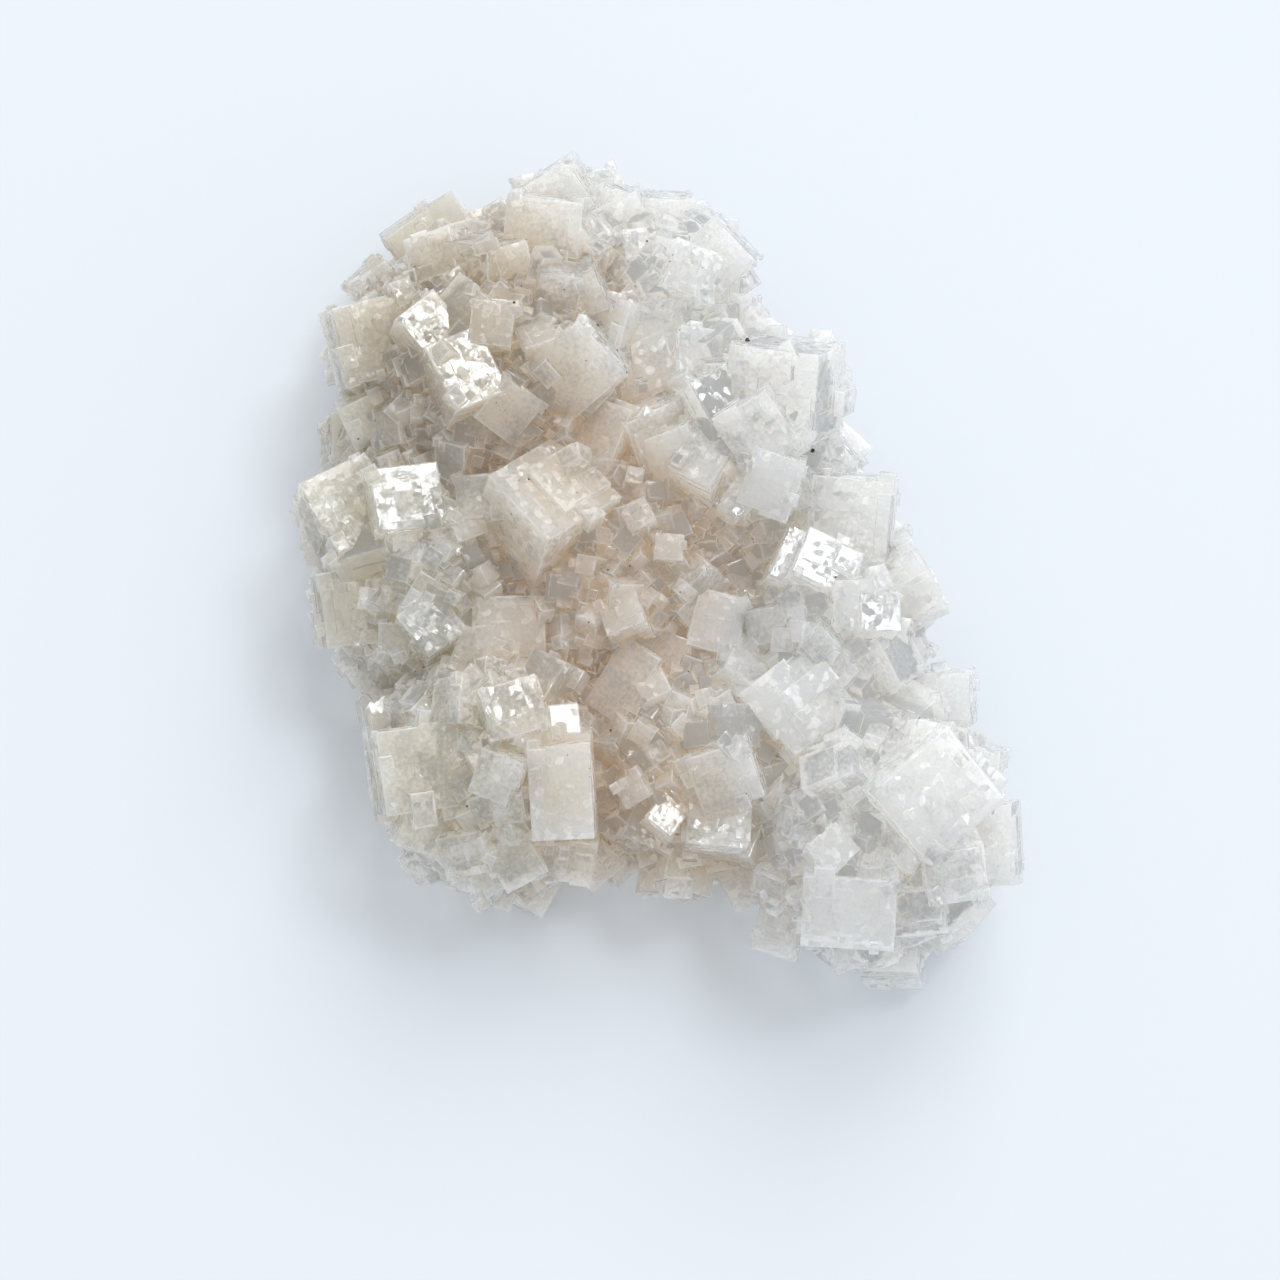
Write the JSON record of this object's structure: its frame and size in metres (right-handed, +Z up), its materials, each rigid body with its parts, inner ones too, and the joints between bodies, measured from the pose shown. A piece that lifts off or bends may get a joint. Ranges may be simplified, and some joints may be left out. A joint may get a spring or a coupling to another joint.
{
  "type": "halite crystal cluster",
  "caption": "Hand-sized cluster of intergrown cubic salt crystals, frosted to clear, lying on its flat broken underside as a display specimen.",
  "frame": {"origin": "middle of the flat underside, on the surface the cluster rests on", "axes": "+Z up, away from the rest and towards the crystal face; +Y along the longer side, towards the narrow head of the cluster; +X towards the side that carries the single large corner cube"},
  "size_m": [0.0731, 0.0856, 0.0304],
  "materials": {
    "halite": "frosted to clear crystal faces, glossy to satin"
  },
  "bodies": {
    "root": {"halite_cluster": "halite"}
  },
  "joints": []
}
